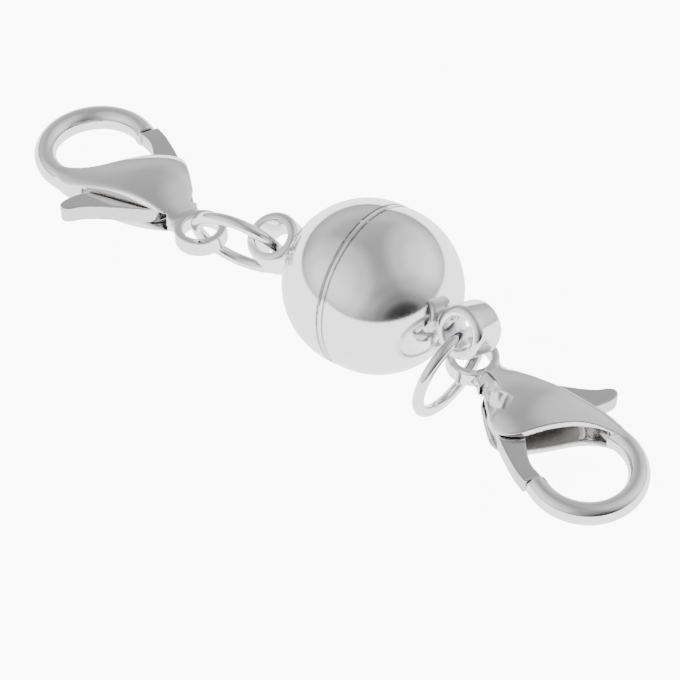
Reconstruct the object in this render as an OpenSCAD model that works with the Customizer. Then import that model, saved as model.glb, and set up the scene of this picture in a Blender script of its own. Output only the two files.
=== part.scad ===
/* [Ball] */
// radius of the closed ball round its axis
ball_r = 4; // [3.9:0.05:4.1]
// how much longer the ball is along its axis, each side
ball_stretch = 0.32; // [0.26:0.02:0.4]
// where the seam lies along the axis, from the middle
seam_at = 0.15; // [0.05:0.01:0.2]
// open line left between the two halves
seam_gap = 0.06; // [0.04:0.01:0.1]
// width of the narrow step beside the seam
step_w = 0.26; // [0.15:0.01:0.3]
// depth of that step
step_d = 0.05; // [0.03:0.01:0.1]
// how far the right end of the ball is raised, degrees
ball_raise = 7.2; // [6:0.2:8]

/* [Magnets] */
// radius of a disc magnet
magnet_r = 2.9; // [2.4:0.1:3.1]
// thickness of a disc magnet
magnet_t = 1.6; // [1.2:0.1:1.9]
// how far a magnet sits back from the seam face
magnet_set = 0.05; // [0.03:0.01:0.15]

/* [Loops on the ball] */
// outer radius of a soldered loop
loop_r = 1.3; // [1.26:0.01:1.34]
// radius of the hole through a loop
loop_hole_r = 0.82; // [0.82:0.01:0.86]
// length of a loop along its hole
loop_l = 1.84; // [1.76:0.02:1.86]
// how far a loop's turned edges are rounded back from their sharp corners
loop_round = 0.13; // [0.1:0.01:0.16]
// turn of the left loop about the ball's axis, degrees
left_loop_turn = 29; // [26:1:32]
// turn of the right loop about the ball's axis, degrees
right_loop_turn = 65; // [62:1:68]

/* [Jump rings] */
// radius of a jump ring to the middle of its wire
ring_r = 2.225; // [2.2:0.005:2.25]
// radius of the wire
wire_r = 0.275; // [0.25:0.005:0.28]

/* [Claws] */
// outer radius of the eye
eye_r = 1.25; // [1.2:0.01:1.3]
// radius of the eye's hole
eye_hole_r = 0.85; // [0.84:0.01:0.9]
// thickness of the eye
eye_t = 0.84; // [0.8:0.01:0.86]
// from the middle of the eye to the middle of the hook
hook_at = 8.1; // [8:0.05:8.2]
// radius of the hook to the middle of its bar
hook_r = 2.47; // [2.45:0.01:2.5]
// width of the hook's bar
hook_w = 1; // [0.96:0.02:1.04]
// thickness of the hook's bar
hook_t = 1.2; // [1.14:0.02:1.24]
// half the thickness of the claw over its domed cheeks
cheek_h = 1.3; // [1.25:0.01:1.36]
// wall of a hollow cheek
cheek_wall = 0.3; // [0.24:0.02:0.34]
// width of the slot for the lever
slot_w = 1; // [0.96:0.01:1.04]
// heading of the left claw, degrees
left_heading = 166.7; // [165.7:0.1:167.7]
// heading of the right claw, degrees
right_heading = -12; // [-13:0.5:-11]

/* [Levers] */
// thickness of a lever
lever_t = 0.84; // [0.8:0.01:0.88]
// radius of the pivot pin
pin_r = 0.3; // [0.26:0.01:0.32]
// play of the lever round its pin
pin_play = 0.03; // [0.02:0.01:0.05]

/* [Hidden] */
$fn = 64;

// sides of a round used in the cheeks' domes
dome_fn = 32;

// height of the ball's middle over the surface
ball_z = ball_r + ball_stretch * sin(ball_raise);
ball_half_l = ball_r + ball_stretch;
// middle of a loop, out along the ball's axis
loop_at = ball_half_l + loop_r + 0.03;
// a loop is turned barrel-shaped, this is the radius that rounds its edges
barrel_r = sqrt(loop_r * loop_r + loop_l * loop_l / 4) - loop_round;
// short neck of solder between the ball and a loop
neck_r = 0.72;
neck_end = loop_at - loop_hole_r - 0.12;
magnet_play = 0.02;
// how far a cutting shape reaches past what it cuts
past = 1;

// middles of the jump rings, measured from the middle of the loop each hangs in
left_ring_off = [-1.943, -0.463, -0.801];
right_ring_off = [-0.298, -1.084, -2.057];
// the way each jump ring faces: lean from lying flat, then heading, degrees
left_ring_face = [69.4, 102.83];
right_ring_face = [82.22, 178.21];

// middles of the claws' eyes on the plan, from the middle of the ball
left_eye_at = [-9.877, -0.499];
right_eye_at = [5.18, 0.83];
// a claw rests where its dome is fullest, this far from the eye, and on its hook
cheek_low_at = 4.1;
claw_lean = asin((cheek_h - hook_t / 2) / (hook_at + hook_r - cheek_low_at));
eye_z = cheek_h * cos(claw_lean) + cheek_low_at * sin(claw_lean);

// lever pivot, along the claw and across it
pivot = [3.2, -1.2];
// radius about the pivot at which the gate ends
gate_reach = 4.25;
// side of the square in which the thumb tab lies, past that radius
tab_room = 6;
// free space between the gate's end and the hook
gate_gap = 0.06;
// ends of the hook's bar, turned about its middle from the far end, degrees
hook_end_turn = -125;
hook_start_turn = 112;
// radius that rounds off the corners of the hook's bar
bar_round_r = 0.66;

// fullest shapes of the domed cheeks: place along and across, then half sizes
dome_balls = [[1.5, 0, 0.6, 0.95, 0.52], [cheek_low_at, 0, 2.1, 2.8, cheek_h],
              [6.2, 1.9, 1.3, 1.2, 0.86], [hook_at, hook_r, 0.5, 0.6, 0.66]];

// outline of the cheeks seen from above, along the claw and across it
cheek_line = [[1.15, -0.75], [1.5, -0.95], [2.2, -1.3], [3.2, -1.85], [3.9, -2.15], [4.2, -2.2],
              [4.6, -2.0], [5, -1.6], [5.3, -1.0], [5.58, -0.3], [5.85, 0.3], [6.2, 1.0],
              [6.7, 1.6], [7.3, 1.98], [7.9, 2.25], [8.3, 2.47], [7.9, 2.72], [7, 2.88], [6, 2.55],
              [5, 2.1], [4.2, 1.75], [3.2, 1.3], [2, 0.9], [1.15, 0.75]];

// outline of the root that joins the eye to the cheeks
eye_root_line = [[0.6, -1.05], [1.7, -0.98], [1.7, 0.98], [0.6, 1.05]];

// outline of the hollow inside the cheeks, open toward the hook
hollow_line = [[2.1, -0.6], [3.2, -1.4], [3.8, -1.75], [4.3, -1.85], [4.6, -2.6], [9, -2.6],
               [9, 0.6], [7.4, 1.2], [6.7, 1.8], [6, 2.1], [5, 1.7], [4.2, 1.38],
               [3.2, 0.95], [2.1, 0.55]];

// outline of the slot that the lever moves in
slot_line = [[1.65, -4], [1.6, 0], [1.75, 4], [5.95, 4], [5.95, 2.35], [6.5, 2.25],
             [7.2, 2.3], [7.4, 2.1], [7.3, 1], [6.85, -1], [6.85, -4]];

// outline of the lever: gate, seat round the pin, and thumb tab
lever_line = [[7.6, -2.93], [6.8, -2.88], [6.2, -2.78], [5, -2.42], [4, -2.02], [3, -1.62], [2.55, -1.1],
              [2.4, -0.4], [2.35, 0.3], [2.6, 1], [3.1, 1.5], [3.8, 2.1], [4.5, 2.75],
              [4.98, 3.3], [5.2, 3.72], [5.45, 3.98], [5.76, 3.94], [5.9, 3.65], [5.88, 3.2],
              [5.74, 2.6], [5.58, 2], [5.25, 1.3], [4.9, 0.4], [4.8, -0.3], [4.95, -1],
              [5.4, -1.35], [6, -1.75], [6.6, -2.02], [7.6, -2.1]];

// places a child from the ball's own axis into the world
module along_ball(turn) {
    translate([0, 0, ball_z])
        rotate([0, -ball_raise, 0])
            rotate([turn, 0, 0])
                children();
}

// places a child from a claw's own lie into the world
module at_left_claw() {
    translate([left_eye_at.x, left_eye_at.y, eye_z])
        rotate([0, claw_lean, left_heading])
            children();
}

module at_right_claw() {
    translate([right_eye_at.x, right_eye_at.y, eye_z])
        rotate([0, claw_lean, right_heading])
            children();
}

// a half of the ball: a cup that opens at its seam and holds a magnet
module cup(seam, step) {
    difference() {
        translate([ball_stretch, 0, 0])
            sphere(ball_r);
        translate([seam - 2 * ball_r, -ball_r - past, -ball_r - past])
            cube([2 * ball_r, 2 * (ball_r + past), 2 * (ball_r + past)]);
        if (step > 0)
            rotate([0, 90, 0])
                translate([0, 0, seam - past])
                    difference() {
                        cylinder(r = ball_r + past, h = step + past);
                        translate([0, 0, -past])
                            cylinder(r = ball_r - step_d, h = step + 3 * past);
                    }
        translate([seam - past, 0, 0])
            rotate([0, 90, 0])
                cylinder(r = magnet_r + magnet_play, h = magnet_t + magnet_set + magnet_play + past);
    }
}

// a loop: a short barrel standing across the ball's axis, with a neck of solder
module loop() {
    difference() {
        union() {
            translate([loop_at, 0, 0])
                rotate_extrude()
                    intersection() {
                        translate([0, -loop_l / 2])
                            square([loop_r, loop_l]);
                        circle(barrel_r);
                    }
            translate([ball_half_l - 0.4, 0, 0])
                rotate([0, 90, 0])
                    cylinder(r = neck_r, h = neck_end - ball_half_l + 0.4);
        }
        translate([loop_at, 0, -loop_l])
            cylinder(r = loop_hole_r, h = 2 * loop_l);
    }
}

module half_ball(seam, step, turn) {
    cup(seam, step);
    rotate([turn, 0, 0])
        loop();
}

module magnet(seam) {
    translate([seam + magnet_set, 0, 0])
        rotate([0, 90, 0])
            cylinder(r = magnet_r, h = magnet_t);
}

module left_half_ball() {
    color("silver")
        along_ball(0)
            mirror([1, 0, 0])
                half_ball(-seam_at + seam_gap / 2, step_w, left_loop_turn);
}

module right_half_ball() {
    color("silver")
        along_ball(0)
            half_ball(seam_at + seam_gap / 2, 0, right_loop_turn);
}

module left_magnet() {
    color("gray")
        along_ball(0)
            mirror([1, 0, 0])
                magnet(-seam_at + seam_gap / 2);
}

module right_magnet() {
    color("gray")
        along_ball(0)
            magnet(seam_at + seam_gap / 2);
}

// a closed ring of round wire
module jump_ring() {
    rotate_extrude()
        translate([ring_r, 0])
            circle(wire_r);
}

module left_jump_ring() {
    color("silver")
        translate([-loop_at * cos(ball_raise), 0, ball_z - loop_at * sin(ball_raise)] + left_ring_off)
            rotate([0, left_ring_face.x, left_ring_face.y])
                jump_ring();
}

module right_jump_ring() {
    color("silver")
        translate([loop_at * cos(ball_raise), 0, ball_z + loop_at * sin(ball_raise)] + right_ring_off)
            rotate([0, right_ring_face.x, right_ring_face.y])
                jump_ring();
}

// the full dome of the cheeks, shrunk all round by a wall
module dome(wall) {
    hull()
        for (b = dome_balls)
            translate([b[0], b[1], 0])
                scale([b[2] - wall, b[3] - wall, b[4] - wall])
                    sphere(1, $fn = dome_fn);
}

// both cheeks as hollow shells
module cheeks() {
    difference() {
        intersection() {
            dome(0);
            translate([0, 0, -cheek_h])
                linear_extrude(2 * cheek_h)
                    polygon(cheek_line);
        }
        intersection() {
            dome(cheek_wall);
            translate([0, 0, -cheek_h])
                linear_extrude(2 * cheek_h)
                    polygon(hollow_line);
        }
    }
}

// seats that carry the pin inside the cheeks
module pin_seats() {
    intersection() {
        dome(0.1);
        translate([pivot.x, pivot.y, -cheek_h])
            cylinder(r = pin_r + 0.25, h = 2 * cheek_h);
    }
}

// the hook: a round bar bent to most of a circle
module hook() {
    difference() {
        translate([hook_at, 0, 0])
            rotate([0, 0, hook_end_turn])
                rotate_extrude(angle = hook_start_turn - hook_end_turn)
                    translate([hook_r, 0])
                        intersection() {
                            square([hook_w, hook_t], center = true);
                            circle(bar_round_r);
                        }
        translate([pivot.x, pivot.y, -hook_t])
            cylinder(r = gate_reach + gate_gap, h = 2 * hook_t);
    }
}

module eye() {
    difference() {
        union() {
            translate([0, 0, -eye_t / 2])
                cylinder(r = eye_r, h = eye_t);
            translate([0, 0, -eye_t / 2])
                linear_extrude(eye_t)
                    polygon(eye_root_line);
        }
        translate([0, 0, -eye_t])
            cylinder(r = eye_hole_r, h = 2 * eye_t);
    }
}

module claw() {
    difference() {
        union() {
            cheeks();
            pin_seats();
            hook();
            eye();
        }
        translate([0, 0, -slot_w / 2])
            linear_extrude(slot_w)
                polygon(slot_line);
        translate([pivot.x, pivot.y, -pin_half_l() - 0.02])
            cylinder(r = pin_r + 0.02, h = 2 * pin_half_l() + 0.04);
    }
}

function pin_half_l() = slot_w / 2 + 0.26;

module pin() {
    translate([pivot.x, pivot.y, -pin_half_l()])
        cylinder(r = pin_r, h = 2 * pin_half_l());
}

module lever() {
    difference() {
        translate([0, 0, -lever_t / 2])
            linear_extrude(lever_t)
                intersection() {
                    polygon(lever_line);
                    union() {
                        translate(pivot)
                            circle(gate_reach);
                        square([tab_room, tab_room]);
                    }
                }
        translate([pivot.x, pivot.y, -lever_t])
            cylinder(r = pin_r + pin_play, h = 2 * lever_t);
    }
}

module left_claw() {
    color("silver")
        at_left_claw()
            claw();
}

module right_claw() {
    color("silver")
        at_right_claw()
            claw();
}

module left_lever() {
    color("silver")
        at_left_claw()
            lever();
}

module right_lever() {
    color("silver")
        at_right_claw()
            lever();
}

module left_pin() {
    color("gray")
        at_left_claw()
            pin();
}

module right_pin() {
    color("gray")
        at_right_claw()
            pin();
}

left_half_ball();
right_half_ball();
left_magnet();
right_magnet();
left_jump_ring();
right_jump_ring();
left_claw();
right_claw();
left_lever();
right_lever();
left_pin();
right_pin();
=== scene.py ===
"""Dresses a magnetic ball clasp with its two jump rings and two lobster claws.

Lengths written in millimetres are turned to metres by MM where they are used.
"""

import logging
import math
from collections.abc import Callable
from dataclasses import dataclass
from enum import Enum

import bpy
from mathutils import Matrix, Vector


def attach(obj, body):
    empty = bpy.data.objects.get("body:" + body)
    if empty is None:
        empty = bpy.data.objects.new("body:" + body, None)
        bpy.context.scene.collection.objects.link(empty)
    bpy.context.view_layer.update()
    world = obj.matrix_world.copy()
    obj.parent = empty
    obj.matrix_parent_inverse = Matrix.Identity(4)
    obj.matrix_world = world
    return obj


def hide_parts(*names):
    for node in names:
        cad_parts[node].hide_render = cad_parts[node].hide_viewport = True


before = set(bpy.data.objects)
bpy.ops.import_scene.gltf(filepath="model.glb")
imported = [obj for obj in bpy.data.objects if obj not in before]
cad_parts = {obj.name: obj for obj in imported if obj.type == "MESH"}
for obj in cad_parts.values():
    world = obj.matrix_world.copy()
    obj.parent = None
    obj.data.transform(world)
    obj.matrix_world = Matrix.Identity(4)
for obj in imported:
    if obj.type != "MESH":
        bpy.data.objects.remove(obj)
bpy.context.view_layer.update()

MM = 0.001
NEAR = 0.002 * MM  # metres apart at which two places still count as one
FACING = 0.9  # cosine beyond which a face counts as facing a way
LOFT_SEGMENTS = 112
DISC_SEGMENTS = 96
THINNEST = 0.05  # least half thickness of a loft's ring, in millimetres
RING_SHARE = 9  # a loft's ring is found within its spacing over this
TINY = 1e-9
log = logging.getLogger("clasp")


class Side(Enum):
    """The two ends of the clasp, valued by the way each points along the ball's axis."""

    LEFT = -1
    RIGHT = 1

    @property
    def word(self) -> str:
        """Side's name as piece names use it."""
        return self.name.lower()

    @property
    def body(self) -> str:
        """CAD body that carries this end."""
        return f"{self.word}_side"

    @property
    def gate(self) -> str:
        """CAD body of this end's lever."""
        return f"{self.word}_gate"


def only(obj: bpy.types.Object) -> None:
    """Makes one object the only one selected, and active.

    Args:
        obj: the object to work on.
    """
    bpy.ops.object.select_all(action="DESELECT")
    obj.select_set(True)
    bpy.context.view_layer.objects.active = obj


def settle(obj: bpy.types.Object, place: Matrix) -> None:
    """Moves a finished piece to its place and leaves that place in its mesh.

    Args:
        obj: the piece, modelled about its own origin.
        place: from the piece's own axes to the row frame, in metres.
    """
    only(obj)
    obj.matrix_world = place @ obj.matrix_world
    bpy.ops.object.transform_apply(location=True, rotation=True, scale=True)


def pick(obj: bpy.types.Object, mode: str, test: Callable[..., bool]) -> int:
    """Selects vertices, edges or faces of the mesh in edit mode by their place.

    Args:
        obj: the object being edited.
        mode: VERT, EDGE or FACE.
        test: called with a vertex's place, an edge's two places, or a face's middle and normal.

    Returns:
        How many were selected.
    """
    bpy.ops.mesh.select_mode(type=mode)
    bpy.ops.mesh.select_all(action="DESELECT")
    bpy.ops.object.mode_set(mode="OBJECT")
    mesh, count = obj.data, 0
    if mode == "VERT":
        for v in mesh.vertices:
            v.select = bool(test(v.co))
            count += v.select
    elif mode == "EDGE":
        for e in mesh.edges:
            a, b = (mesh.vertices[i].co for i in e.vertices)
            e.select = bool(test(a, b))
            count += e.select
    else:
        for f in mesh.polygons:
            f.select = bool(test(f.center, f.normal))
            count += f.select
    bpy.ops.object.mode_set(mode="EDIT")
    return count


def apply_modifier(obj: bpy.types.Object, kind: str, **values: object) -> None:
    """Adds a modifier, sets its values and applies it.

    Args:
        obj: the piece.
        kind: Blender's name of the modifier's type.
        values: its settings by name.
    """
    only(obj)
    bpy.ops.object.modifier_add(type=kind)
    modifier = obj.modifiers[-1]
    for name, value in values.items():
        setattr(modifier, name, value)
    bpy.ops.object.modifier_apply(modifier=modifier.name)


def face_out() -> None:
    """Turns every face of the mesh in edit mode outward, and leaves edit mode."""
    bpy.ops.mesh.select_all(action="SELECT")
    bpy.ops.mesh.normals_make_consistent(inside=False)
    bpy.ops.object.mode_set(mode="OBJECT")


@dataclass(frozen=True)
class Plating:
    """A bright metal finish with fine polish marks and a soft unevenness."""

    name: str
    bright: tuple = (0.66, 0.655, 0.66)
    dull: tuple = (0.6, 0.595, 0.595)
    smooth: float = 0.03
    rough: float = 0.09
    cloud_mm: float = 1.6
    grain_mm: float = 0.12
    wave_mm: float = 0.9
    wave_depth: float = 0.02
    grain_depth: float = 0.02
    cloud_detail: float = 3.0
    grain_detail: float = 2.0
    wave_detail: float = 1.0
    cloud_band: tuple = (0.35, 0.65)
    grain_band: tuple = (0.3, 0.7)

    def make(self) -> bpy.types.Material:
        """Builds the node material.

        Returns:
            The material, made once and then shared.
        """
        known = bpy.data.materials.get(self.name)
        if known:
            return known
        material = bpy.data.materials.new(self.name)
        material.use_nodes = True
        nodes, links = material.node_tree.nodes, material.node_tree.links
        shader = nodes["Principled BSDF"]
        shader.inputs["Metallic"].default_value = 1.0
        coords = nodes.new("ShaderNodeTexCoord")

        def noise(size_mm: float, detail: float) -> bpy.types.Node:
            """Adds a noise laid out in the piece's own metres.

            Args:
                size_mm: size of its patches.
                detail: how many finer layers it carries.

            Returns:
                The noise node.
            """
            node = nodes.new("ShaderNodeTexNoise")
            node.inputs["Scale"].default_value = 1.0 / (size_mm * MM)
            node.inputs["Detail"].default_value = detail
            links.new(coords.outputs["Object"], node.inputs["Vector"])
            return node

        def bump(depth_mm: float, source: bpy.types.Node) -> bpy.types.Node:
            """Adds a bump that follows a noise.

            Args:
                depth_mm: its full height.
                source: the noise.

            Returns:
                The bump node.
            """
            node = nodes.new("ShaderNodeBump")
            node.inputs["Strength"].default_value = 1.0
            node.inputs["Distance"].default_value = depth_mm * MM
            links.new(source.outputs["Fac"], node.inputs["Height"])
            return node

        cloud = noise(self.cloud_mm, self.cloud_detail)
        grain = noise(self.grain_mm, self.grain_detail)
        wave = noise(self.wave_mm, self.wave_detail)
        ramp = nodes.new("ShaderNodeValToRGB")
        tones = zip(ramp.color_ramp.elements, self.cloud_band, (self.dull, self.bright))
        for element, place, tone in tones:
            element.position = place
            element.color = (*tone, 1.0)
        links.new(cloud.outputs["Fac"], ramp.inputs["Fac"])
        links.new(ramp.outputs["Color"], shader.inputs["Base Color"])
        spread = nodes.new("ShaderNodeMapRange")
        spread.inputs["From Min"].default_value = self.grain_band[0]
        spread.inputs["From Max"].default_value = self.grain_band[1]
        spread.inputs["To Min"].default_value = self.smooth
        spread.inputs["To Max"].default_value = self.rough
        links.new(grain.outputs["Fac"], spread.inputs["Value"])
        links.new(spread.outputs["Result"], shader.inputs["Roughness"])
        low, fine = bump(self.wave_depth, wave), bump(self.grain_depth, grain)
        links.new(low.outputs["Normal"], fine.inputs["Normal"])
        links.new(fine.outputs["Normal"], shader.inputs["Normal"])
        return material

    def dress(self, obj: bpy.types.Object) -> None:
        """Gives a piece this finish alone."""
        obj.data.materials.clear()
        obj.data.materials.append(self.make())

    def dress_node(self, name: str) -> None:
        """Gives a CAD node that stays in view this finish.

        Args:
            name: the node's name.
        """
        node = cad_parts[name]
        for place in node.material_slots:
            place.link = "OBJECT"
            place.material = self.make()


BALL_PLATING = Plating("ball_plating", smooth=0.02, rough=0.045,
                       wave_depth=0.001, grain_depth=0.00006)
WIRE_PLATING = Plating("ring_plating", smooth=0.05, rough=0.11,
                       wave_depth=0.002, grain_depth=0.0002)
CAST_PLATING = Plating("claw_plating", smooth=0.07, rough=0.15,
                       bright=(0.65, 0.642, 0.64), dull=(0.58, 0.572, 0.57),
                       wave_depth=0.006, grain_depth=0.0005)
LEVER_PLATING = Plating("lever_plating", smooth=0.08, rough=0.17, wave_mm=1.4,
                        bright=(0.65, 0.642, 0.64), dull=(0.58, 0.572, 0.57),
                        wave_depth=0.003, grain_depth=0.0005)
CAST_INSIDE = Plating("claw_inside", smooth=0.42, rough=0.6, grain_mm=0.07,
                      bright=(0.72, 0.71, 0.7), dull=(0.6, 0.59, 0.58),
                      wave_depth=0.004, grain_depth=0.004)
MAGNET_NICKEL = Plating("magnet_nickel", smooth=0.16, rough=0.28,
                        bright=(0.56, 0.55, 0.53), dull=(0.46, 0.45, 0.43),
                        wave_depth=0.001, grain_depth=0.0004)
PIN_STEEL = Plating("pin_steel", smooth=0.15, rough=0.3,
                    bright=(0.62, 0.62, 0.62), dull=(0.52, 0.52, 0.52),
                    wave_depth=0.001, grain_depth=0.0004)


@dataclass
class HalfBall:
    """One half of the ball: its cup, its soldered neck and its barrel loop.

    Sizes are in millimetres along the ball's axis, and turns in degrees.
    """

    side: Side
    loop_turn: float
    seam: float
    step_w: float = 0.0
    radius: float = 4.0
    stretch: float = 0.32
    raise_deg: float = 7.2
    step_d: float = 0.05
    seat_r: float = 2.92
    seat_depth: float = 1.67
    loop_r: float = 1.3
    loop_hole_r: float = 0.82
    loop_l: float = 1.84
    loop_at: float = 5.65
    neck_r: float = 0.72
    neck_bury: float = 0.3
    neck_reach: float = 0.13
    neck_waist: float = 0.14
    neck_steps: int = 12
    rim_round: float = 0.03
    rim_band: float = 0.97
    rim_cuts: int = 3
    loop_round: float = 0.3
    bore_round: float = 0.09
    loop_cuts: int = 10
    bore_cuts: int = 5
    edge_band: float = 0.02
    cup_segments: int = 176
    cup_rings: int = 112
    loop_segments: int = 128
    neck_segments: int = 72
    cup_crease: float = 32.0
    loop_crease: float = 40.0

    def place(self) -> Matrix:
        """Finds where the half sits.

        Returns:
            From the half's own axes, opening at -X, to the row frame.
        """
        height = self.radius + self.stretch * math.sin(math.radians(self.raise_deg))
        turn = Matrix.Rotation(math.radians(-self.raise_deg), 4, "Y")
        if self.side is Side.LEFT:
            turn = turn @ Matrix.Rotation(math.pi, 4, "Z")
        return Matrix.Translation((0, 0, height * MM)) @ turn

    def cup(self) -> bpy.types.Object:
        """Models the cup from a sphere cut at the seam.

        Returns:
            The cup, in place.
        """
        bpy.ops.object.select_all(action="DESELECT")
        bpy.ops.mesh.primitive_uv_sphere_add(
            segments=self.cup_segments, ring_count=self.cup_rings, radius=self.radius * MM,
            location=(self.stretch * MM, 0, 0), rotation=(0, math.pi / 2, 0))
        cup = bpy.context.object
        cup.name = f"{self.side.word}_ball_cup"
        bpy.ops.object.transform_apply(location=True, rotation=True, scale=True)
        cut = (self.seam + self.step_w) * MM
        bpy.ops.object.mode_set(mode="EDIT")
        bpy.ops.mesh.select_all(action="SELECT")
        bpy.ops.mesh.bisect(plane_co=(cut, 0, 0), plane_no=(1, 0, 0), use_fill=True,
                            clear_inner=True)
        if self.step_w:
            pick(cup, "FACE", lambda c, n: n.x < -FACING and c.x < cut + NEAR)
            bpy.ops.mesh.inset(thickness=self.step_d * MM)
            bpy.ops.mesh.extrude_region_move(
                TRANSFORM_OT_translate={"value": (-self.step_w * MM, 0, 0)})
        rim = self.seam * MM
        pick(cup, "FACE", lambda c, n: abs(n.x) > FACING and c.x < rim + NEAR)
        rim_r = math.sqrt(self.radius ** 2 - (self.seam + self.step_w - self.stretch) ** 2) - (
            self.step_d if self.step_w else 0.0)
        bpy.ops.mesh.inset(thickness=(rim_r - self.seat_r) * MM)
        bpy.ops.mesh.extrude_region_move(
            TRANSFORM_OT_translate={"value": (self.seat_depth * MM, 0, 0)})
        edge_r = rim_r * self.rim_band
        pick(cup, "EDGE", lambda a, b: abs(a.x - rim) < NEAR and abs(b.x - rim) < NEAR
             and min(math.hypot(a.y, a.z), math.hypot(b.y, b.z)) > edge_r * MM
             and abs(math.hypot(a.y, a.z) - math.hypot(b.y, b.z)) < NEAR)
        bpy.ops.mesh.bevel(offset=self.rim_round * MM, segments=self.rim_cuts, affect="EDGES")
        face_out()
        bpy.ops.object.shade_smooth_by_angle(angle=math.radians(self.cup_crease))
        settle(cup, self.place())
        return cup

    def loop(self) -> bpy.types.Object:
        """Models the barrel loop from a cylinder bored right through.

        Returns:
            The loop, in place.
        """
        bpy.ops.object.select_all(action="DESELECT")
        bpy.ops.mesh.primitive_cylinder_add(
            vertices=self.loop_segments, radius=self.loop_r * MM, depth=self.loop_l * MM)
        loop = bpy.context.object
        loop.name = f"{self.side.word}_ball_loop"
        bpy.ops.object.mode_set(mode="EDIT")
        pick(loop, "FACE", lambda c, n: abs(n.z) > FACING)
        bpy.ops.mesh.inset(thickness=(self.loop_r - self.loop_hole_r) * MM)
        bpy.ops.mesh.bridge_edge_loops()
        outer = (self.loop_r - self.edge_band) * MM
        pick(loop, "EDGE", lambda a, b: abs(a.z - b.z) < NEAR
             and min(a.xy.length, b.xy.length) > outer)
        bpy.ops.mesh.bevel(offset=self.loop_round * MM, segments=self.loop_cuts, affect="EDGES")
        inner = (self.loop_hole_r + self.edge_band) * MM
        pick(loop, "EDGE", lambda a, b: abs(a.z - b.z) < NEAR
             and max(a.xy.length, b.xy.length) < inner)
        bpy.ops.mesh.bevel(offset=self.bore_round * MM, segments=self.bore_cuts, affect="EDGES")
        face_out()
        bpy.ops.object.shade_smooth_by_angle(angle=math.radians(self.loop_crease))
        turn = self.loop_turn if self.side is Side.RIGHT else -self.loop_turn
        settle(loop, self.place() @ Matrix.Rotation(math.radians(turn), 4, "X")
               @ Matrix.Translation((self.loop_at * MM, 0, 0)))
        return loop

    def neck(self) -> bpy.types.Object:
        """Models the solder between the cup and the loop, waisted like a drawn bead.

        Returns:
            The neck, in place.
        """
        low = self.radius + self.stretch - self.neck_bury
        high = self.loop_at - self.loop_hole_r - self.neck_reach
        bpy.ops.object.select_all(action="DESELECT")
        bpy.ops.mesh.primitive_cylinder_add(
            vertices=self.neck_segments, radius=self.neck_r * MM, depth=(high - low) * MM,
            location=((low + high) / 2 * MM, 0, 0), rotation=(0, math.pi / 2, 0))
        neck = bpy.context.object
        neck.name = f"{self.side.word}_solder_neck"
        bpy.ops.object.transform_apply(location=True, rotation=True, scale=True)
        bpy.ops.object.mode_set(mode="EDIT")
        steps = self.neck_steps
        places = [(low + (high - low) * i / steps) * MM for i in range(1, steps)]
        for at in places:
            bpy.ops.mesh.select_all(action="SELECT")
            bpy.ops.mesh.bisect(plane_co=(at, 0, 0), plane_no=(1, 0, 0))
        for i, at in enumerate(places, 1):
            pinch = 1 - self.neck_waist * math.sin(math.pi * i / steps)
            pick(neck, "VERT", lambda c: abs(c.x - at) < NEAR)
            bpy.ops.transform.resize(value=(1, pinch, pinch), center_override=(at, 0, 0))
        face_out()
        bpy.ops.object.shade_smooth_by_angle(angle=math.radians(self.loop_crease))
        settle(neck, self.place())
        return neck

    def build(self) -> None:
        """Builds the three parts of the half, dresses them and hangs them on its body."""
        node = f"{self.side.word}_half_ball"
        for piece in (self.cup(), self.loop(), self.neck()):
            BALL_PLATING.dress(piece)
            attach(piece, self.side.body)
            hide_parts(node)
            log.info("%s: %d faces", piece.name, len(piece.data.polygons))
        MAGNET_NICKEL.dress_node(f"{self.side.word}_magnet")


@dataclass
class JumpRing:
    """A ring of round wire, bent until its ends meet. Sizes in millimetres and degrees."""

    side: Side
    centre: tuple
    lean: float
    heading: float
    butt_at: float
    ring_r: float = 2.225
    wire_r: float = 0.275
    groove_w: float = 0.022
    groove_pinch: float = 0.93
    ring_segments: int = 220
    wire_segments: int = 40
    crease: float = 30.0

    def build(self) -> None:
        """Models the ring with the fine line where its ends meet, and dresses it."""
        bpy.ops.object.select_all(action="DESELECT")
        bpy.ops.mesh.primitive_torus_add(
            major_segments=self.ring_segments, minor_segments=self.wire_segments,
            major_radius=self.ring_r * MM, minor_radius=self.wire_r * MM)
        ring = bpy.context.object
        ring.name = f"{self.side.word}_ring_wire"
        away = math.radians(self.butt_at)
        cross = Vector((-math.sin(away), math.cos(away), 0))
        outward = Vector((math.cos(away), math.sin(away), 0))
        middle = outward * self.ring_r * MM
        groove = self.groove_w * MM
        bpy.ops.object.mode_set(mode="EDIT")
        for shift in (-groove, 0, groove):
            bpy.ops.mesh.select_all(action="SELECT")
            bpy.ops.mesh.bisect(plane_co=middle + cross * shift, plane_no=cross)
        pick(ring, "VERT", lambda c: abs(c.dot(cross)) < NEAR and c.dot(outward) > 0)
        bpy.ops.transform.resize(value=(self.groove_pinch,) * 3, center_override=middle)
        face_out()
        bpy.ops.object.shade_smooth_by_angle(angle=math.radians(self.crease))
        turn = Matrix.Rotation(math.radians(self.heading), 4, "Z") @ Matrix.Rotation(
            math.radians(self.lean), 4, "Y")
        settle(ring, Matrix.Translation(Vector(self.centre) * MM) @ turn)
        WIRE_PLATING.dress(ring)
        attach(ring, self.side.body)
        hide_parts(f"{self.side.word}_jump_ring")
        log.info("%s: %d faces", ring.name, len(ring.data.polygons))


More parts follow.
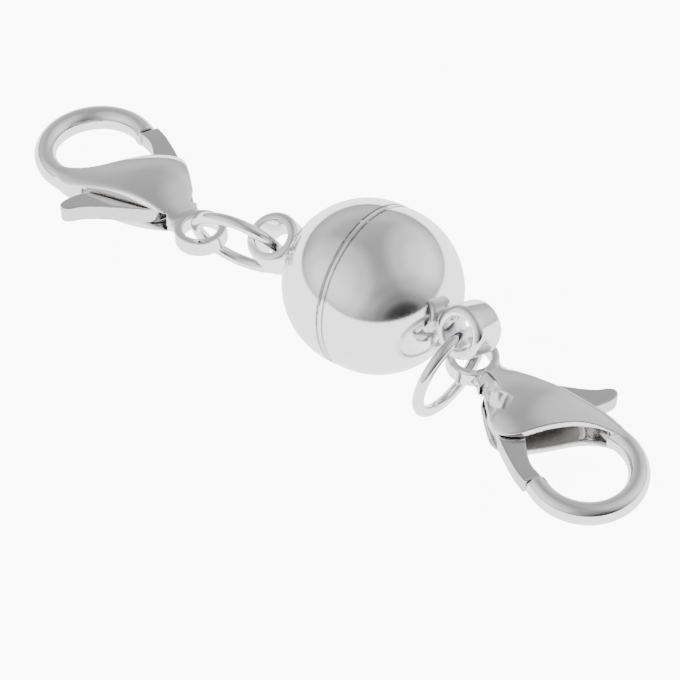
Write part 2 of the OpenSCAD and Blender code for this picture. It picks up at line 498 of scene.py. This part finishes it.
class Workshop:
    """Makes the plain shapes that a casting is cut and joined from, in millimetres."""

    @staticmethod
    def plate(name: str, line: tuple, low: float, high: float) -> bpy.types.Object:
        """Draws an outline point by point and gives it a thickness.

        Args:
            name: its name.
            line: the outline's points, in order.
            low: height of the lower face.
            high: height of the upper face.

        Returns:
            The plate.
        """
        bpy.ops.object.select_all(action="DESELECT")
        bpy.ops.mesh.primitive_plane_add(size=1)
        plate = bpy.context.object
        plate.name = name
        bpy.ops.object.mode_set(mode="EDIT")
        bpy.ops.mesh.select_mode(type="VERT")
        bpy.ops.mesh.select_all(action="SELECT")
        bpy.ops.mesh.merge(type="CENTER")
        bpy.ops.transform.translate(value=(line[0][0], line[0][1], low))
        for (x0, y0), (x1, y1) in zip(line, line[1:]):
            bpy.ops.mesh.extrude_vertices_move(
                TRANSFORM_OT_translate={"value": (x1 - x0, y1 - y0, 0)})
        bpy.ops.mesh.select_all(action="SELECT")
        bpy.ops.mesh.edge_face_add()
        bpy.ops.mesh.extrude_region_move(TRANSFORM_OT_translate={"value": (0, 0, high - low)})
        face_out()
        return plate

    @staticmethod
    def loft(name: str, stations: tuple, shrink: float = 0.0,
             rings: int = 48) -> bpy.types.Object:
        """Swells and moves the rings of a cylinder into a dome on both sides.

        Args:
            name: its name.
            stations: rows of place along, half width, half height and middle across.
            shrink: how much thinner it is all round.
            rings: how many rings it is given.

        Returns:
            The dome.
        """
        first, last = stations[0][0], stations[-1][0]
        length = last - first
        bpy.ops.object.select_all(action="DESELECT")
        bpy.ops.mesh.primitive_cylinder_add(
            vertices=LOFT_SEGMENTS, radius=1, depth=length,
            location=((first + last) / 2, 0, 0), rotation=(0, math.pi / 2, 0))
        dome = bpy.context.object
        dome.name = name
        bpy.ops.object.transform_apply(location=True, rotation=True, scale=True)
        bpy.ops.object.mode_set(mode="EDIT")
        places = [first + length * i / rings for i in range(rings + 1)]
        near = length / rings / RING_SHARE
        for at in places[1:-1]:
            bpy.ops.mesh.select_all(action="SELECT")
            bpy.ops.mesh.bisect(plane_co=(at, 0, 0), plane_no=(1, 0, 0))
        for at in places:
            wide, high, middle = blend(stations, at)
            pick(dome, "VERT", lambda c: abs(c.x - at) < near)
            bpy.ops.transform.resize(
                value=(1, max(wide - shrink, THINNEST), max(high - shrink, THINNEST)),
                center_override=(at, 0, 0))
            bpy.ops.transform.translate(value=(0, middle, 0))
        face_out()
        return dome

    @staticmethod
    def disc(name: str, radius: float, low: float, high: float, at: tuple) -> bpy.types.Object:
        """Makes a short round block standing up.

        Args:
            name: its name.
            radius: its radius.
            low: height of its lower face.
            high: height of its upper face.
            at: its middle, along and across.

        Returns:
            The block.
        """
        bpy.ops.object.select_all(action="DESELECT")
        bpy.ops.mesh.primitive_cylinder_add(
            vertices=DISC_SEGMENTS, radius=radius, depth=high - low,
            location=(at[0], at[1], (low + high) / 2))
        disc = bpy.context.object
        disc.name = name
        bpy.ops.object.transform_apply(location=True, rotation=True, scale=True)
        return disc

    @staticmethod
    def combine(target: bpy.types.Object, tool: bpy.types.Object, how: str,
                keep: bool = False) -> None:
        """Cuts one shape with another, or keeps what both share.

        Args:
            target: the shape that is changed.
            tool: the shape that changes it.
            how: DIFFERENCE or INTERSECT.
            keep: whether the tool is used again.
        """
        apply_modifier(target, "BOOLEAN", operation=how, solver="EXACT", object=tool)
        if not keep:
            bpy.data.objects.remove(tool, do_unlink=True)

    @staticmethod
    def join(parts: tuple, name: str) -> bpy.types.Object:
        """Joins shapes that overlap into one object.

        Args:
            parts: the shapes.
            name: name of the whole.

        Returns:
            The first shape, with the others in it.
        """
        bpy.ops.object.select_all(action="DESELECT")
        for part in parts:
            part.select_set(True)
        bpy.context.view_layer.objects.active = parts[0]
        bpy.ops.object.join()
        parts[0].name = name
        return parts[0]

    @staticmethod
    def tumble(piece: bpy.types.Object, voxel: float, rounds: int) -> None:
        """Runs surfaces into one another and rounds edges, as casting and tumbling do.

        Args:
            piece: the piece, in millimetres.
            voxel: size of the new mesh's squares.
            rounds: how often the surface is evened out.
        """
        apply_modifier(piece, "REMESH", mode="VOXEL", voxel_size=voxel)
        bpy.ops.object.mode_set(mode="EDIT")
        bpy.ops.mesh.select_all(action="SELECT")
        bpy.ops.mesh.vertices_smooth(factor=0.5, repeat=rounds)
        bpy.ops.mesh.normals_make_consistent(inside=False)
        bpy.ops.object.mode_set(mode="OBJECT")
        bpy.ops.object.shade_smooth()


def blend(stations: tuple, at: float) -> tuple:
    """Reads a table of stations at a place between them, without kinks.

    Args:
        stations: rows that start with their place.
        at: the place asked for.

    Returns:
        The other values of the row.
    """
    last = len(stations) - 1
    i = max(k for k in range(last) if stations[k][0] <= at + TINY)
    rows = [stations[min(max(k, 0), last)] for k in (i - 1, i, i + 1, i + 2)]
    span = rows[2][0] - rows[1][0]
    t = (at - rows[1][0]) / span
    values = []
    for k in range(1, len(rows[0])):
        before = (rows[2][k] - rows[0][k]) / (rows[2][0] - rows[0][0]) * span
        after = (rows[3][k] - rows[1][k]) / (rows[3][0] - rows[1][0]) * span
        values.append((2 * t ** 3 - 3 * t ** 2 + 1) * rows[1][k]
                      + (t ** 3 - 2 * t ** 2 + t) * before
                      + (3 * t ** 2 - 2 * t ** 3) * rows[2][k] + (t ** 3 - t ** 2) * after)
    return tuple(values)


def rounded(line: tuple, corners: tuple = (), steps: int = 5) -> tuple:
    """Runs a smooth closed line through the given points.

    Args:
        line: the points.
        corners: which of them, by number, stay sharp.
        steps: how many pieces each stretch gets.

    Returns:
        The smooth line's points.
    """
    count, out = len(line), []
    for i in range(count):
        p0, p1, p2, p3 = (Vector(line[(i + k) % count]) for k in (-1, 0, 1, 2))
        start = (p2 - p1) if i in corners else (p2 - p0) / 2
        end = (p2 - p1) if (i + 1) % count in corners else (p3 - p1) / 2
        for k in range(steps):
            t = k / steps
            point = ((2 * t ** 3 - 3 * t ** 2 + 1) * p1 + (t ** 3 - 2 * t ** 2 + t) * start
                     + (3 * t ** 2 - 2 * t ** 3) * p2 + (t ** 3 - t ** 2) * end)
            out.append((point.x, point.y))
    return tuple(out)


@dataclass(frozen=True)
class ClawShape:
    """A cast lobster claw's sizes in millimetres: along from the eye, across, and up."""

    dome: tuple = (
        (0.95, 0.8, 0.34, 0), (1.5, 1.15, 0.56, 0), (2.2, 1.75, 0.86, 0),
        (3.0, 2.25, 1.12, 0), (4.1, 2.6, 1.3, 0.05), (5.0, 2.5, 1.24, 0.3),
        (6.2, 2.0, 0.98, 1.0), (7.2, 1.25, 0.73, 1.8), (8.1, 0.8, 0.57, 2.35),
        (8.7, 0.6, 0.42, 2.45))
    cheek: tuple = (
        (1.15, -0.75), (1.5, -0.95), (2.2, -1.3), (3.2, -1.85), (3.8, -2.15), (4.2, -2.22),
        (4.6, -2.04), (5, -1.6), (5.3, -1.0), (5.58, -0.3), (5.85, 0.3), (6.2, 1.0),
        (6.7, 1.6), (7.3, 2.02), (7.9, 2.28), (8.6, 2.46), (7.9, 2.7), (7, 2.86),
        (6, 2.55), (5, 2.1), (4.2, 1.75), (3.2, 1.3), (2, 0.9), (1.15, 0.75))
    cheek_corners: tuple = (0, 23)
    hollow: tuple = (
        (2.1, -0.6), (3.2, -1.4), (3.8, -1.75), (4.3, -1.85), (4.6, -2.6), (9, -2.6),
        (9, 0.6), (7.4, 1.2), (6.7, 1.8), (6, 2.1), (5, 1.7), (4.2, 1.38), (3.2, 0.95),
        (2.1, 0.55))
    hollow_corners: tuple = (4, 5, 6)
    slot: tuple = (
        (1.65, -4), (1.6, 0), (1.75, 4), (5.95, 4), (5.95, 2.35), (6.5, 2.25), (7.2, 2.3),
        (7.4, 2.1), (7.3, 1), (6.85, -1), (6.85, -4))
    lever: tuple = (
        (7.09, -2.9), (6.8, -2.88), (6.2, -2.78), (5, -2.42), (4, -2.02), (3, -1.62),
        (2.55, -1.1), (2.4, -0.4), (2.35, 0.3), (2.6, 1), (3.1, 1.5), (3.8, 2.1),
        (4.5, 2.75), (4.98, 3.3), (5.2, 3.72), (5.45, 3.98), (5.76, 3.94), (5.9, 3.65),
        (5.88, 3.2), (5.74, 2.6), (5.58, 2), (5.25, 1.3), (4.9, 0.4), (4.8, -0.3),
        (4.95, -1), (5.4, -1.35), (6, -1.75), (6.6, -2.0), (7.36, -2.06))
    lever_corners: tuple = (0, 28)
    neck: tuple = (
        (0.55, 1.02, 0.42, 0), (1.1, 0.9, 0.44, 0), (1.6, 0.84, 0.5, 0), (2.1, 0.78, 0.55, 0))
    neck_rings: int = 12
    wall: float = 0.42
    slot_w: float = 1.0
    lever_t: float = 0.84
    pivot: tuple = (3.2, -1.2)
    pin_r: float = 0.32
    seat_r: float = 0.55
    seat_h: float = 0.86
    seat_cap: float = 0.08
    lever_play: float = 0.02
    hook_at: float = 8.1
    hook_r: float = 2.47
    hook_w: float = 1.04
    hook_t: float = 1.2
    hook_from: float = -125
    hook_to: float = 120
    gate_room: float = 4.27
    eye_r: float = 1.25
    eye_hole_r: float = 0.85
    eye_t: float = 0.84
    body_voxel: float = 0.044
    lever_voxel: float = 0.038
    body_rounds: int = 11
    lever_rounds: int = 7
    hook_segments: int = 144
    hook_sides: int = 40
    reach: float = 2.0
    inward: float = -0.05
    inside_from: float = 0.56


@dataclass
class ClawPattern:
    """Makes the casting and the lever that both claws are copied from."""

    shape: ClawShape

    def cheeks(self) -> bpy.types.Object:
        """Models the two domed cheeks as one hollow shell.

        Returns:
            The shell, not yet slotted.
        """
        s = self.shape
        outer = Workshop.loft("cheeks", s.dome)
        edge = Workshop.plate("edge", rounded(s.cheek, s.cheek_corners), -s.reach, s.reach)
        Workshop.combine(outer, edge, "INTERSECT")
        inner = Workshop.loft("core", s.dome, s.wall)
        room = Workshop.plate("room", rounded(s.hollow, s.hollow_corners), -s.reach, s.reach)
        Workshop.combine(inner, room, "INTERSECT")
        Workshop.combine(outer, inner, "DIFFERENCE")
        return outer

    def hook(self) -> bpy.types.Object:
        """Models the hook as a bent bar with a round section, cut back where the gate meets it.

        Returns:
            The hook.
        """
        s = self.shape
        bpy.ops.object.select_all(action="DESELECT")
        bpy.ops.mesh.primitive_torus_add(
            major_segments=s.hook_segments, minor_segments=s.hook_sides, major_radius=s.hook_r,
            minor_radius=s.hook_w / 2, location=(s.hook_at, 0, 0))
        hook = bpy.context.object
        hook.name = "hook"
        bpy.ops.object.transform_apply(location=True, rotation=True, scale=True)
        bpy.ops.object.mode_set(mode="EDIT")
        bpy.ops.mesh.select_all(action="SELECT")
        bpy.ops.transform.resize(
            value=(1, 1, s.hook_t / s.hook_w), center_override=(s.hook_at, 0, 0))
        pick(hook, "FACE", lambda c, n: not s.hook_from < math.degrees(
            math.atan2(c.y, c.x - s.hook_at)) < s.hook_to)
        bpy.ops.mesh.delete(type="FACE")
        bpy.ops.mesh.select_all(action="SELECT")
        bpy.ops.mesh.fill_holes(sides=0)
        bpy.ops.mesh.normals_make_consistent(inside=False)
        bpy.ops.object.mode_set(mode="OBJECT")
        room = Workshop.disc("gate_room", s.gate_room, -s.reach, s.reach, s.pivot)
        Workshop.combine(hook, room, "DIFFERENCE")
        return hook

    def eye(self) -> bpy.types.Object:
        """Models the eye as a thick washer, whose edges the tumbling rounds.

        Returns:
            The washer.
        """
        s = self.shape
        eye = Workshop.disc("eye", s.eye_r, -s.eye_t / 2, s.eye_t / 2, (0, 0))
        hole = Workshop.disc("hole", s.eye_hole_r, -s.reach, s.reach, (0, 0))
        Workshop.combine(eye, hole, "DIFFERENCE")
        return eye

    def casting(self) -> bpy.types.Object:
        """Models the whole casting: cheeks, seats of the pin, hook, eye and neck.

        Returns:
            The casting in millimetres, lying along X from its eye.
        """
        s = self.shape
        neck = Workshop.loft("neck", s.neck, rings=s.neck_rings)
        hole = Workshop.disc("hole", s.eye_hole_r, -s.reach, s.reach, (0, 0))
        Workshop.combine(neck, hole, "DIFFERENCE")
        seats = Workshop.disc("seats", s.seat_r, -s.seat_h, s.seat_h, s.pivot)
        slot = Workshop.plate("slot", s.slot, -s.slot_w / 2, s.slot_w / 2)
        bore = Workshop.disc(
            "bore", s.pin_r, -s.seat_h + s.seat_cap, s.seat_h - s.seat_cap, s.pivot)
        parts = [self.cheeks(), neck, self.hook(), seats]
        Workshop.combine(seats, Workshop.loft("skin", s.dome, s.wall / 2), "INTERSECT")
        for part in parts:
            Workshop.combine(part, slot, "DIFFERENCE", keep=True)
        Workshop.combine(seats, bore, "DIFFERENCE")
        bpy.data.objects.remove(slot, do_unlink=True)
        casting = Workshop.join((*parts, self.eye()), "claw_pattern")
        Workshop.tumble(casting, s.body_voxel, s.body_rounds)
        self.split_finish(casting)
        return casting

    def split_finish(self, casting: bpy.types.Object) -> None:
        """Gives the faces that look into the casting, which no polish reaches, their own finish.

        Args:
            casting: the casting, after tumbling.
        """
        s = self.shape
        casting.data.materials.clear()
        casting.data.materials.append(CAST_PLATING.make())
        casting.data.materials.append(CAST_INSIDE.make())
        for f in casting.data.polygons:
            looks_in = f.center.z * f.normal.z < s.inward
            behind = abs(f.center.z) > s.slot_w * s.inside_from
            along = s.cheek[1][0] < f.center.x < s.hook_at
            f.material_index = int(looks_in and behind and along)

    def lever(self) -> bpy.types.Object:
        """Models the lever: gate, seat round the pin, and thumb tab.

        Returns:
            The lever in millimetres, in the casting's own axes.
        """
        s = self.shape
        line = rounded(s.lever, s.lever_corners)
        lever = Workshop.plate("lever_pattern", line, -s.lever_t / 2, s.lever_t / 2)
        bore = Workshop.disc("bore", s.pin_r + s.lever_play, -s.reach, s.reach, s.pivot)
        Workshop.combine(lever, bore, "DIFFERENCE")
        Workshop.tumble(lever, s.lever_voxel, s.lever_rounds)
        return lever


@dataclass
class Claw:
    """One of the two claws, copied from the patterns to its place.

    Sizes are in millimetres and degrees.
    """

    side: Side
    eye_at: tuple
    heading: float
    lean: float = 6.211
    eye_z: float = 1.736

    def copy(self, pattern: bpy.types.Object, name: str) -> bpy.types.Object:
        """Copies a pattern with its own mesh and lays the copy in its place.

        Args:
            pattern: the shape in millimetres.
            name: name of the copy.

        Returns:
            The copy, in the row frame.
        """
        piece = pattern.copy()
        piece.data = pattern.data.copy()
        piece.name = name
        bpy.context.scene.collection.objects.link(piece)
        turn = Matrix.Rotation(math.radians(self.heading), 4, "Z") @ Matrix.Rotation(
            math.radians(self.lean), 4, "Y")
        place = Matrix.Translation(Vector((*self.eye_at, self.eye_z)) * MM) @ turn
        settle(piece, place @ Matrix.Scale(MM, 4))
        return piece

    def build(self, casting: bpy.types.Object, lever: bpy.types.Object) -> None:
        """Lays the casting and the lever, and dresses them and the pin.

        Args:
            casting: the casting's pattern.
            lever: the lever's pattern.
        """
        word = self.side.word
        body = self.copy(casting, f"{word}_claw_casting")
        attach(body, self.side.body)
        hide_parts(f"{word}_claw")
        gate = self.copy(lever, f"{word}_lever_plate")
        LEVER_PLATING.dress(gate)
        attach(gate, self.side.gate)
        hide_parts(f"{word}_lever")
        PIN_STEEL.dress_node(f"{word}_pin")
        for piece in (body, gate):
            log.info("%s: %d faces", piece.name, len(piece.data.polygons))


@dataclass
class Studio:
    """The pale floor, the soft lights and the camera. Sizes in metres and degrees."""

    azimuth: float = 38.1
    elevation: float = 46.0
    distance: float = 0.42
    sensor: float = 36.0
    pixels: float = 680.0
    pixels_per_mm: float = 21.6
    ball_px: tuple = (373.2, 286.2)
    aim_height: float = 0.00404
    floor_seen: float = 9.0
    floor_glow: float = 1.9
    air_strength: float = 1.8
    floor_size: float = 3.0
    floor_drop: float = 0.00002
    paper_grey: float = 0.9
    paper_rough: float = 0.9
    paper_shine: float = 0.1
    clip: tuple = (0.01, 20.0)
    lamps: tuple = (("light_left", -75, 42, 0.6, (0.3, 0.3), 0.8),
                    ("light_back", 165, 30, 0.6, (0.5, 0.25), 0.8))
    air_by_height: tuple = ((0.0, 0.22), (0.12, 0.45), (0.35, 0.52), (0.7, 0.36), (1.0, 0.3))
    dark_at: tuple = (30, -3)
    dark_by_nearness: tuple = ((0.4, 1.0), (0.7, 0.7), (0.86, 0.36), (0.95, 0.08), (1.0, 0.01))
    pale_left: tuple = (-70, 28)
    pale_right: tuple = (100, 32)
    pale_by_nearness: tuple = ((0.55, 0.0), (0.82, 0.25), (1.0, 0.5))

    def back(self) -> Vector:
        """Unit vector from the ball toward the camera."""
        return self.bearing(0, self.elevation)

    def floor(self) -> None:
        """Lays the pale floor, which looks brighter to the camera than it does in the metal."""
        bpy.ops.object.select_all(action="DESELECT")
        bpy.ops.mesh.primitive_plane_add(size=self.floor_size, location=(0, 0, -self.floor_drop))
        floor = bpy.context.object
        floor.name = "floor"
        material = bpy.data.materials.new("floor_paper")
        material.use_nodes = True
        shader = material.node_tree.nodes["Principled BSDF"]
        shader.inputs["Base Color"].default_value = (*(self.paper_grey,) * 3, 1)
        shader.inputs["Roughness"].default_value = self.paper_rough
        shader.inputs["Specular IOR Level"].default_value = self.paper_shine
        shader.inputs["Emission Color"].default_value = (1, 1, 1, 1)
        links = material.node_tree.links
        ray = material.node_tree.nodes.new("ShaderNodeLightPath")
        glow = material.node_tree.nodes.new("ShaderNodeMapRange")
        glow.inputs["To Min"].default_value = self.floor_glow
        glow.inputs["To Max"].default_value = self.floor_seen
        links.new(ray.outputs["Is Camera Ray"], glow.inputs["Value"])
        links.new(glow.outputs["Result"], shader.inputs["Emission Strength"])
        floor.data.materials.append(material)

    def bearing(self, azimuth: float, elevation: float) -> Vector:
        """Unit vector from the ball, with azimuth 0 toward the camera and 90 to its right."""
        a, e = math.radians(self.azimuth + azimuth), math.radians(elevation)
        return Vector((math.sin(a) * math.cos(e), -math.cos(a) * math.cos(e), math.sin(e)))

    def lamp(self, name: str, azimuth: float, elevation: float, away: float, size: tuple,
             watts: float) -> None:
        """Hangs one soft rectangular light that faces the ball and shows in no reflection.

        Args:
            name: its name.
            azimuth: its bearing from the camera's.
            elevation: its height over the floor.
            away: its distance from the ball.
            size: its width and height.
            watts: its power.
        """
        toward = self.bearing(azimuth, elevation)
        bpy.ops.object.light_add(type="AREA", location=toward * away)
        light = bpy.context.object
        light.name = name
        light.rotation_euler = toward.to_track_quat("Z", "Y").to_euler()
        light.data.shape = "RECTANGLE"
        light.data.size, light.data.size_y = size
        light.data.energy = watts
        light.visible_glossy = False

    def air(self) -> None:
        """Gives the room its greys: pale overhead and behind, dark low by the camera."""
        world = bpy.data.worlds.new("studio_air")
        bpy.context.scene.world = world
        world.use_nodes = True
        nodes, links = world.node_tree.nodes, world.node_tree.links
        coords = nodes.new("ShaderNodeTexCoord")
        sky = nodes["Background"]

        def spot(toward: Vector, stops: tuple) -> bpy.types.Node:
            """Grades the light by how near a direction lies to a bearing.

            Args:
                toward: the bearing, as a unit vector.
                stops: pairs of nearness, from 0 to 1, and grey.

            Returns:
                The ramp node.
            """
            near = nodes.new("ShaderNodeVectorMath")
            near.operation = "DOT_PRODUCT"
            near.inputs[1].default_value = toward
            links.new(coords.outputs["Generated"], near.inputs[0])
            ramp = nodes.new("ShaderNodeValToRGB")
            ramp.color_ramp.interpolation = "EASE"
            while len(ramp.color_ramp.elements) < len(stops):
                ramp.color_ramp.elements.new(0.5)
            for element, (place, grey) in zip(ramp.color_ramp.elements, stops):
                element.position = place
                element.color = (grey, grey, grey, 1)
            links.new(near.outputs["Value"], ramp.inputs["Fac"])
            return ramp

        height = spot(Vector((0, 0, 1)), self.air_by_height)
        dark = spot(self.bearing(*self.dark_at), self.dark_by_nearness)
        left = spot(self.bearing(*self.pale_left), self.pale_by_nearness)
        right = spot(self.bearing(*self.pale_right), self.pale_by_nearness)
        colour = height.outputs["Color"]
        for other, how in ((left, "ADD"), (right, "ADD"), (dark, "MULTIPLY")):
            mix = nodes.new("ShaderNodeMixRGB")
            mix.blend_type = how
            mix.inputs["Fac"].default_value = 1.0
            links.new(colour, mix.inputs["Color1"])
            links.new(other.outputs["Color"], mix.inputs["Color2"])
            colour = mix.outputs["Color"]
        links.new(colour, sky.inputs["Color"])
        sky.inputs["Strength"].default_value = self.air_strength

    def lights(self) -> None:
        """Hangs the soft lights."""
        for lamp in self.lamps:
            self.lamp(*lamp)

    def camera(self) -> None:
        """Sets the camera at the photograph's angle and scale."""
        back = self.back()
        data = bpy.data.cameras.new("camera")
        camera = bpy.data.objects.new("camera", data)
        bpy.context.scene.collection.objects.link(camera)
        camera.location = Vector((0, 0, self.aim_height)) + back * self.distance
        camera.rotation_euler = (-back).to_track_quat("-Z", "Y").to_euler()
        data.sensor_width = self.sensor
        data.lens = self.pixels_per_mm / MM * self.distance * self.sensor / self.pixels
        middle = self.pixels / 2
        data.shift_x = -(self.ball_px[0] - middle) / self.pixels
        data.shift_y = (self.ball_px[1] - middle) / self.pixels
        data.clip_start, data.clip_end = self.clip
        bpy.context.scene.camera = camera

    def build(self) -> None:
        """Sets the whole studio."""
        self.floor()
        self.lights()
        self.air()
        self.camera()
        log.info("studio set at azimuth %.1f, elevation %.1f", self.azimuth, self.elevation)


def main() -> None:
    """Builds the clasp from one end to the other, and then the studio."""
    logging.basicConfig(level=logging.INFO, format="%(name)s: %(message)s")
    HalfBall(Side.LEFT, loop_turn=29, seam=-0.12, step_w=0.26).build()
    HalfBall(Side.RIGHT, loop_turn=65, seam=0.18).build()
    JumpRing(Side.LEFT, centre=(-7.548, -0.463, 2.531), lean=69.4, heading=102.83,
             butt_at=190).build()
    JumpRing(Side.RIGHT, centre=(5.307, -1.084, 2.691), lean=82.22, heading=178.21,
             butt_at=200).build()
    pattern = ClawPattern(ClawShape())
    casting, lever = pattern.casting(), pattern.lever()
    Claw(Side.LEFT, eye_at=(-9.877, -0.499), heading=166.7).build(casting, lever)
    Claw(Side.RIGHT, eye_at=(5.18, 0.83), heading=-12).build(casting, lever)
    for spare in (casting, lever):
        bpy.data.objects.remove(spare, do_unlink=True)
    Studio().build()


if __name__ == "__main__":
    main()
